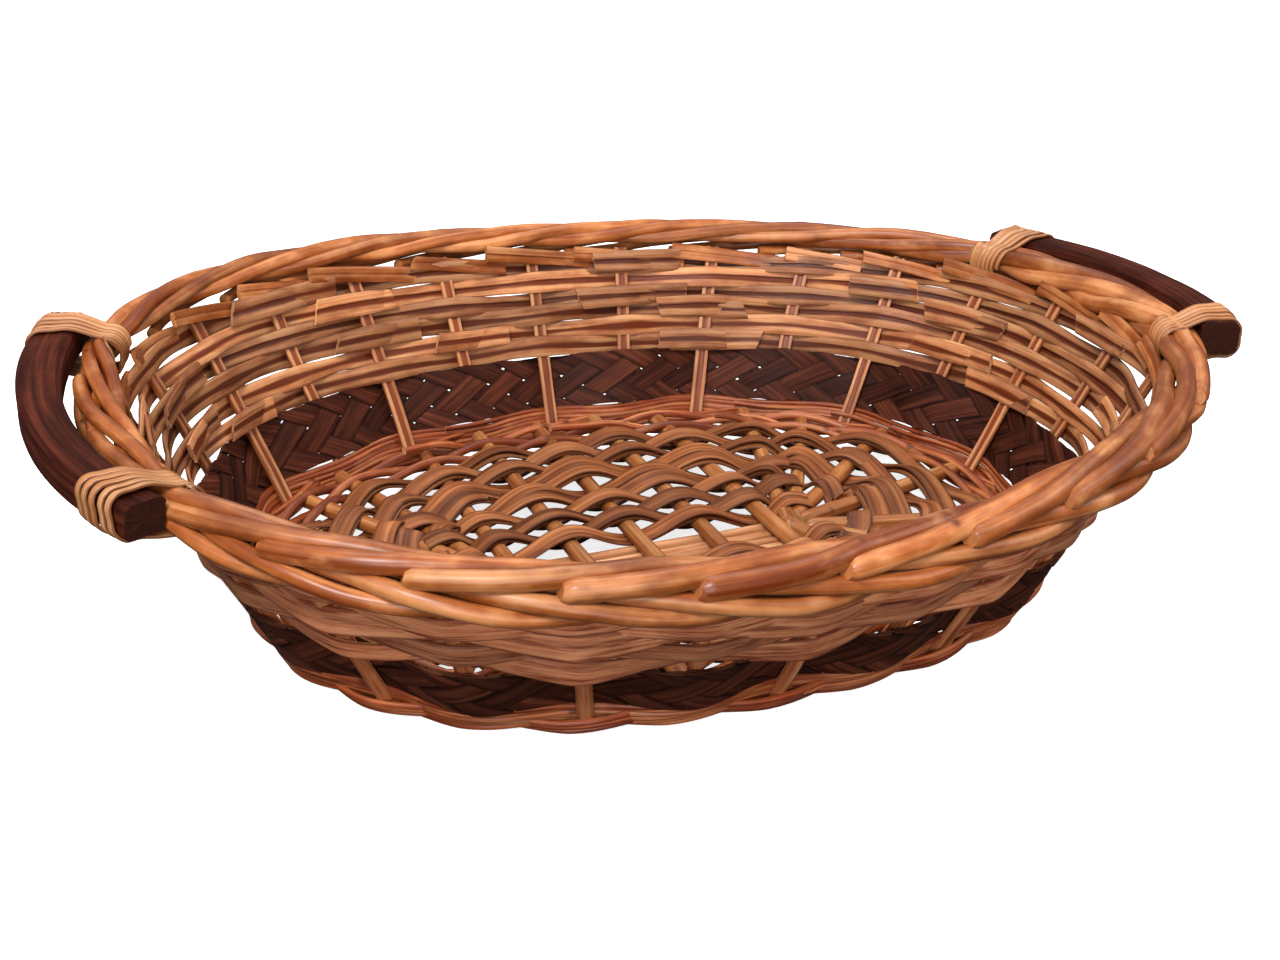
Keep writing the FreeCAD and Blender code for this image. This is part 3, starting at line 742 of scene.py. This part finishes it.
def base_spokes():
    """Kind, start and end of every stick that runs out from the middle, anticlockwise."""
    found = []
    corner_x = (cross_stick_count - 1) / 2 * stick_spacing + 8 * MM
    for side in (1, -1):
        for number in range(cross_stick_count):
            x = slath_x + (number - (cross_stick_count - 1) / 2) * stick_spacing
            found.append(("cross", (x, slath_y), (0.0, side)))
        for end in (1, -1):
            lean = math.radians(73)
            start = (slath_x + end * corner_x, slath_y + side * 3 * MM)
            found.append(("corner", start, (end * math.cos(lean), side * math.sin(lean))))
    for end in (1, -1):
        for angle in (-60.0, -38.0, -14.0, 14.0, 38.0, 60.0):
            turn = math.radians(angle)
            way = (end * math.cos(turn), math.sin(turn))
            start = (slath_x + end * 78 * MM, slath_y + 4 * MM * angle / 14)
            found.append(("fan", (start[0] + way[0] * 7 * MM, start[1] + way[1] * 7 * MM), way))
    spokes = []
    for kind, start, way in found:
        start, way = np.array(start + (stick_level,)), np.array(way + (0.0,))
        reach = (stick_limit.at(stick_limit.crossing(start, way)) - start) @ way
        spokes.append((kind, start, start + way * reach, way))
    return sorted(spokes, key=lambda spoke: math.atan2(spoke[2][1], spoke[2][0]))


spokes = base_spokes()


def add_stick(strands, start, end, diameter, bow=0.5 * MM, spacing=70 * MM):
    count = max(20, int(np.linalg.norm(end - start) / (2.5 * MM)))
    part = np.linspace(0, 1, count)
    path = start + (end - start) * column(part)
    sideways = unit(np.cross(end - start, UP))
    lengths = part * np.linalg.norm(end - start)
    path = path + sideways * column(wander(lengths, 40 * MM, bow))
    path[:, 2] += wander(lengths, 50 * MM, bow * 0.4)
    add_rod(strands, path, diameter * rng.uniform(0.94, 1.06), taper=0.1, spacing=spacing)


def make_sticks():
    groups = {"cross_sticks": [], "corner_sticks": [], "fan_sticks_right": [], "fan_sticks_left": []}
    far = {round(start[0], 4): end for kind, start, end, way in spokes if kind == "cross" and way[1] > 0}
    for kind, start, end, way in spokes:
        if kind == "cross" and way[1] < 0:
            groups["cross_sticks"].append((end, far[round(start[0], 4)]))
        elif kind == "corner":
            groups["corner_sticks"].append((start - way * 8 * MM, end))
        elif kind == "fan":
            node = "fan_sticks_right" if way[0] > 0 else "fan_sticks_left"
            groups[node].append((start - way * 12 * MM, end))
    for node, members in groups.items():
        strands = Strands()
        for start, end in members:
            add_stick(strands, start, end, stick_diameter)
        strands.piece("willow_" + node, stick_wood, "base_stick", node)


def make_slath():
    """Pale rods laid across under the cross sticks in the middle of the base."""
    strands = Strands()
    low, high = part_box("slath_rods")
    diameter = high.z - low.z
    spacing = (high.y - low.y - diameter) / (slath_rod_count - 1)
    for number in range(slath_rod_count):
        y = low.y + diameter / 2 + number * spacing
        start = np.array([low.x + rng.uniform(0, 6) * MM, y, (low.z + high.z) / 2])
        end = np.array([high.x - rng.uniform(0, 6) * MM, y, (low.z + high.z) / 2])
        add_stick(strands, start, end, diameter, bow=0.3 * MM, spacing=90 * MM)
    strands.piece("pale_slath_rods", pale_willow, "pale_willow", "slath_rods")


def wave(oval, share, first_sign):
    """Up (+1) over a stick and down (-1) under the next one, along an oval."""
    marks = sorted(oval.crossing(start, way) for kind, start, end, way in spokes)
    marks = [marks[-1] - 1] + marks + [marks[0] + 1]
    index = np.interp(np.mod(share, 1.0), marks, np.arange(-1, len(marks) - 1))
    return first_sign * np.cos(np.pi * index)


strip_outline = np.array([(1, -0.3), (1, 0.3), (0.9, 0.5), (0.5, 0.56), (0, 0.58), (-0.5, 0.56), (-0.9, 0.5),
                          (-1, 0.3), (-1, -0.3), (-0.9, -0.5), (-0.5, -0.44), (0, -0.42), (0.5, -0.44),
                          (0.9, -0.5)])
strip_sides = np.sign(strip_outline[:, 1])


def add_strip(strands, path, half_width, depth, facing=UP, tone=None, **more):
    width = half_width * (1 + wander(travelled(path), 30 * MM, 0.03))
    scale = np.stack([width, np.full(len(path), depth)], 1)
    tone = rng.uniform() if tone is None else tone
    strands.sweep(path, facing, strip_outline * scale[:, None], strip_sides, tone, **more)


def lay_double(strands, flat_path, lift, slack, half_width):
    """Two thin strips on top of each other along a course; the upper one lies a little aside."""
    tone = rng.uniform()
    sideways = np.cross(unit(np.gradient(flat_path, axis=0)), UP)
    for layer in (0, 1):
        lengths = travelled(flat_path)
        shift = (layer - 0.5) * 0.7 * MM + wander(lengths, 45 * MM, 0.4 * MM)
        path = flat_path + sideways * column(shift)
        arch = np.clip(lift, 0, None) * slack * layer
        path[:, 2] += lift * ((stick_diameter + strip_depth) / 2 + 0.4 * MM)
        path[:, 2] += (layer - 0.5) * strip_depth * 1.05 + arch
        lean = sideways * column(wander(lengths, 60 * MM, 0.10))
        add_strip(strands, path, half_width * rng.uniform(0.94, 1.03), strip_depth, UP + lean,
                  tone=np.clip(tone + rng.normal() * 0.2, 0, 1), ragged=0.3 * MM)


round_count = 6
round_first = np.array([94.0, 52.0, -56.0]) * MM
round_step = np.array([11.0, 8.4, -7.6]) * MM


def make_base_round(number):
    strands = Strands()
    half_length, far, near = round_first + number * round_step
    oval = Oval(half_length, (far - near) / 2, base_roundness, (far + near) / 2)
    pieces = 2 + number % 2
    begin = rng.uniform()
    for part in range(pieces):
        start = begin + part / pieces
        share = np.linspace(start, start + 1 / pieces + 0.6 / len(spokes), 620 // pieces)
        flat_path = oval.at(share)
        flat_path[:, 2] = stick_level
        lift = wave(oval, share, (-1) ** number)
        lay_double(strands, flat_path, lift, 0.6 * MM, strip_width / 2)
    node = "base_round_%d" % (number + 1)
    strands.piece("strip_" + node, strip_wood, "base_strip", node)


def make_packing(node, side, count):
    """Short strips that fill the long sides between the middle and the first full round."""
    strands = Strands()
    edge = slath_half_width + 4.2 * MM
    corner_x = (cross_stick_count - 1) / 2 * stick_spacing + 8 * MM
    first = round_first[1] if side > 0 else round_first[2]
    step = (abs(first - slath_y) - edge) / count
    for number in range(count):
        reach = edge + number * step
        corner = corner_x + reach * math.tan(math.radians(17))
        overhang = 9 * MM
        x = np.linspace(-corner - overhang, corner + overhang, 220)
        marks = np.array([-corner] + [(n - 2) * stick_spacing for n in range(cross_stick_count)] + [corner])
        index = np.interp(x, marks, np.arange(len(marks)))
        index = index + np.minimum(x + corner, 0) / stick_spacing + np.maximum(x - corner, 0) / stick_spacing
        lift = np.cos(np.pi * (index + number))
        y = slath_y + side * (reach - 4 * MM * (x / corner) ** 2)
        flat_path = np.stack([x + slath_x, y, np.full(len(x), stick_level)], 1)
        lay_double(strands, flat_path, lift, 0.6 * MM, strip_width / 2)
    strands.piece("strip_" + node, strip_wood, "base_strip", node)


def make_base_wale():
    """Thin rods that fill the gap between the base strips and the wall; some tips stand up."""
    strands = Strands()
    diameter = 3.8 * MM
    for number in range(3):
        oval = Oval((154 + 4.4 * number) * MM, (101.5 + 7.0 * number) * MM, base_roundness)
        begin = 0.13 + number * 0.09
        for part in range(2):
            start = begin + part / 2 + rng.normal() * 0.02
            share = np.linspace(start, start + 0.5 + 1.2 / len(spokes), 260)
            path = oval.at(share)
            lengths = travelled(path)
            lift = wave(oval, share, (-1) ** number) * ((stick_diameter + diameter) / 2) * 0.5
            last = ease(1 - (lengths[-1] - lengths) / (45 * MM))
            first = ease(1 - lengths / (30 * MM))
            path -= oval.outward(share) * column(last * rng.uniform(4, 8) * MM)
            path[:, 2] = stick_level + lift * (1 - last) * (1 - first)
            path[:, 2] += last * (stick_diameter * 0.6 + rng.uniform(3, 7) * MM) - first * 3 * MM
            path[:, 2] = np.maximum(path[:, 2], diameter * 0.6)
            add_rod(strands, path, diameter * rng.uniform(0.92, 1.1), taper=0.2, spacing=70 * MM)
    strands.piece("willow_base_wale", thin_willow, "thin_willow", "base_wale")


# ---- handles and lashings -------------------------------------------------------------
handle_bend = 164.6 * MM
handle_half_length = 80 * MM
handle_level = 95.7 * MM
handle_height = 14 * MM
handle_width = 16 * MM
handle_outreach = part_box("handle_right")[1].x - handle_width / 2


def bar_outline():
    """Section of the bar: flat sides with bevelled edges, close enough set for its fibres."""
    u, v, c = handle_width / 2, handle_height / 2, 2.0 * MM
    corners = np.array([(u, -v + c), (u, v - c), (u - c, v), (-u + c, v), (-u, v - c), (-u, -v + c),
                        (-u + c, -v), (u - c, -v)])
    points = []
    for start, end in zip(corners, np.roll(corners, -1, 0)):
        steps = max(3, int(np.linalg.norm(end - start) / (0.9 * MM)))
        for part in np.arange(steps) / steps:
            points.append(start + (end - start) * part)
    return np.array(points)


def make_handle(name, end):
    strands = Strands()
    outline = bar_outline()
    half_turn = math.asin(handle_half_length / handle_bend)
    angle = np.linspace(-half_turn, half_turn, 120)
    centre_x = handle_outreach - handle_bend
    path = np.stack([centre_x + handle_bend * np.cos(angle), handle_bend * np.sin(angle),
                     np.full(len(angle), handle_level)], 1)
    outward = np.stack([np.cos(angle), np.sin(angle), 0 * angle], 1)
    path[:, 2] -= path[:, 1] * rim_twist / rim.half_width
    if end < 0:
        path[:, :2] *= -1
        outward[:, :2] *= -1
    lengths = travelled(path)
    grooves = rng.normal(size=len(outline))
    grooves = (grooves + np.roll(grooves, 1)) * 0.5
    relief = np.zeros((len(path), len(outline)))
    for reach, size in ((60 * MM, 0.13), (22 * MM, 0.08)):
        for corner in range(len(outline)):
            relief[:, corner] += wander(lengths, reach, size)
    relief = 1 - (np.abs(relief + grooves * 0.07)) * MM * 1.1 / (handle_height / 2)
    shape = outline[None] * relief[..., None] * (1 + column(column(wander(lengths, 40 * MM, 0.012))))
    shape = shape[:, ::-1, ::-1]
    strands.sweep(path, outward, shape, np.sign(shape[0, :, 1]), rng.uniform(), ragged=0.2 * MM,
                  slant=((rng.normal() * 0.08, 0.1), (rng.normal() * 0.08, -0.1)))
    strands.piece("bar_" + name, bar_wood, "handle_wood", name, crease=30)


cane_turns = 5
cane_pitch = 4.2 * MM
cane_width = 3.3 * MM
cane_thickness = 1.0 * MM


def make_lashing(end_name, end, place, side):
    """One length of flat cane: five turns side by side, and a short tail that was tucked in."""
    strands = Strands()
    share = rim.crossing((0.0, side * lashing_offset), (end, 0.0))
    middle, along, out = rim.at(share), rim.along(share), rim.outward(share)
    middle[2] = rim_level(share)
    bar = handle_outreach - handle_bend + math.sqrt(handle_bend**2 - lashing_offset**2)
    gap = (abs(bar) - abs(middle[0])) * abs(out[0])
    bar_top = handle_level - middle[2] + handle_height / 2
    bar_top -= end * middle[1] * rim_twist / rim.half_width
    bar_low = bar_top - handle_height
    far = gap + handle_width / 2
    skin = cane_thickness / 2 + 0.4 * MM
    per_turn = 90
    ring = smooth_path(np.array([
        (-4.6 * MM, -2.5 * MM), (-4.2 * MM, 2.0 * MM), (-1.4 * MM, 5.4 * MM), (4 * MM, 6.6 * MM),
        (gap - 7 * MM, bar_top + skin), (gap, bar_top + skin + 0.2 * MM), (far - 2.4 * MM, bar_top + skin),
        (far + skin, bar_top - 2.6 * MM), (far + skin + 0.2 * MM, (bar_top + bar_low) / 2),
        (far + skin, bar_low + 2.6 * MM), (far - 2.4 * MM, bar_low - skin), (gap, bar_low - skin - 0.4 * MM),
        (gap - 8 * MM, bar_low - skin - 2.5 * MM), (3 * MM, -9.6 * MM), (-3.0 * MM, -8.0 * MM),
    ]), per_turn, closed=True)
    count = cane_turns * per_turn + 12
    index = np.arange(count)
    turn = index / per_turn
    shift = (turn - cane_turns / 2) * cane_pitch
    lean = -end * side
    swell = 1 + 0.012 * np.sin(turn * 2 * np.pi * 0.77 + rng.uniform(0, 6))
    u, v = ring[index % per_turn].T * swell
    corner = np.interp(index % per_turn, np.array([0.0, 0.44, 1.0]) * per_turn, [-1.0, 1.0, -1.0])
    slant = corner * 3.4 * MM * lean
    spread = np.interp(u, [-6 * MM, far], [0.6, 1.05])
    path = middle + along * column(shift * spread + slant) + out * column(u) + UP * column(v)
    heart = middle + along * column(shift) + out * (10 * MM)
    lengths = travelled(path)
    path = path + along * column(wander(lengths, 30 * MM, 0.22 * MM))
    add_strip(strands, path, cane_width / 2, cane_thickness, path - heart, ragged=0.3 * MM)
    tail_start = path[-1]
    tail_end = tail_start + along * (9 * MM) - out * (2 * MM) - UP * (13 * MM)
    bend = (tail_start + tail_end) / 2 - out * (3 * MM)
    tail = smooth_path(np.array([path[-9], tail_start, bend, tail_end]), 24)
    add_strip(strands, tail, cane_width / 2 * 0.9, 0.8 * MM, path[-1] - heart[-1], ragged=0.5 * MM)
    node = "lashing_%s_%s" % (end_name, place)
    strands.piece("cane_" + node, cane, "cane", node)


# ---- camera, light and floor ----------------------------------------------------------
camera_yaw, camera_pitch, camera_roll = 25.21, 25.38, 2.38
camera_place = (-0.2978, -0.6196, 0.3600)
camera_lens = 50.68


def make_camera():
    yaw, pitch, roll = map(math.radians, (camera_yaw, camera_pitch, camera_roll))
    ahead = np.array([math.sin(yaw) * math.cos(pitch), math.cos(yaw) * math.cos(pitch), -math.sin(pitch)])
    level = np.array([math.cos(yaw), -math.sin(yaw), 0.0])
    above = np.cross(level, ahead)
    right = level * math.cos(roll) + above * math.sin(roll)
    above = -level * math.sin(roll) + above * math.cos(roll)
    data = bpy.data.cameras.new("camera")
    data.sensor_width = 36.0
    data.lens = camera_lens
    data.clip_start, data.clip_end = 0.05, 60.0
    camera = bpy.data.objects.new("camera", data)
    turned = Matrix(np.stack([right, above, -ahead], 1).tolist()).to_4x4()
    camera.matrix_world = Matrix.Translation(camera_place) @ turned
    bpy.context.scene.collection.objects.link(camera)
    bpy.context.scene.camera = camera


def add_light(name, place, aim, size, power):
    data = bpy.data.lights.new(name, "AREA")
    data.shape = "RECTANGLE"
    data.size, data.size_y = size
    data.energy = power
    light = bpy.data.objects.new(name, data)
    ahead = unit(np.array(aim, float) - np.array(place, float))
    right = unit(np.cross(ahead, UP + np.array([0.001, 0, 0])))
    turned = Matrix(np.stack([right, np.cross(right, ahead), -ahead], 1).tolist()).to_4x4()
    light.matrix_world = Matrix.Translation(place) @ turned
    bpy.context.scene.collection.objects.link(light)


def make_stage():
    world = bpy.data.worlds.new("studio")
    world.use_nodes = True
    nodes, links = world.node_tree.nodes, world.node_tree.links
    sky = nodes["Background"]
    sky.inputs["Color"].default_value = (1.0, 1.0, 1.0, 1.0)
    direction = nodes.new("ShaderNodeTexCoord").outputs["Generated"]
    height = nodes.new("ShaderNodeSeparateXYZ")
    strength = nodes.new("ShaderNodeMapRange")
    strength.inputs["From Min"].default_value = -0.2
    strength.inputs["From Max"].default_value = 0.5
    strength.inputs["To Min"].default_value = 0.06
    strength.inputs["To Max"].default_value = 0.42
    links.new(direction, height.inputs[0])
    links.new(height.outputs["Z"], strength.inputs["Value"])
    links.new(strength.outputs[0], sky.inputs["Strength"])
    bpy.context.scene.world = world
    add_light("key", (-0.9, -1.0, 1.6), (0.0, 0.0, 0.05), (0.6, 0.6), 34)
    add_light("fill", (1.3, -0.6, 1.1), (0.0, 0.0, 0.05), (1.0, 0.8), 7)
    add_light("top", (0.2, 0.7, 1.8), (0.0, 0.0, 0.05), (1.2, 0.8), 13)
    add_light("front", (-0.7, -1.7, 0.55), (0.0, 0.0, 0.04), (1.4, 0.7), 16)
    s = Shader("floor_paper")
    place = s.node("NewGeometry").outputs["Position"]
    soft = s.noise(place, (3.0, 3.0, 3.0), 2.0)
    s.join("Base Color", s.ramp(soft, (0.3, (0.86, 0.86, 0.86, 1.0)), (0.7, (0.9, 0.9, 0.9, 1.0))))
    s.join("Roughness", 0.9)
    s.join("Emission Color", (1.0, 1.0, 1.0, 1.0))
    s.join("Emission Strength", 0.8)
    s.join("Specular IOR Level", 0.1)
    tooth = s.noise(place, (900.0, 900.0, 900.0), 2.0)
    s.join("Normal", s.node("Bump", Strength=0.05, Distance=0.2 * MM, Height=tooth).outputs[0])
    size = 8.0
    mesh = bpy.data.meshes.new("floor")
    corners = [(-size, -size, 0), (size, -size, 0), (size, size, 0), (-size, size, 0)]
    mesh.from_pydata(corners, [], [(0, 1, 2, 3)])
    mesh.materials.append(s.material)
    floor = bpy.data.objects.new("floor", mesh)
    bpy.context.scene.collection.objects.link(floor)
    floor.visible_diffuse = False
    floor.visible_glossy = False


# ---- the basket -----------------------------------------------------------------------
make_camera()
for number in range(stake_count):
    make_stake(number)
half_count = stake_count // 2
make_border("border_rods_back", range(half_count))
make_border("border_rods_front", range(half_count, stake_count))
for row in range(weaver_rows):
    make_weaver_row(row)
make_band()
make_foot_rod(1, 1, 2.4 * MM, 1.1 * MM)
make_foot_rod(2, -1, 2.4 * MM, 1.1 * MM)
make_foot_rod(3, 1, 8.0 * MM, 0.5 * MM)
make_sticks()
make_slath()
for number in range(round_count):
    make_base_round(number)
make_packing("base_packing_far", 1, 5)
make_packing("base_packing_near", -1, 3)
make_base_wale()
for end_name, end in (("right", 1), ("left", -1)):
    make_handle("handle_" + end_name, end)
    for place, side in (("back", 1), ("front", -1)):
        make_lashing(end_name, end, place, side)
make_stage()
bpy.context.scene.view_settings.view_transform = "Standard"
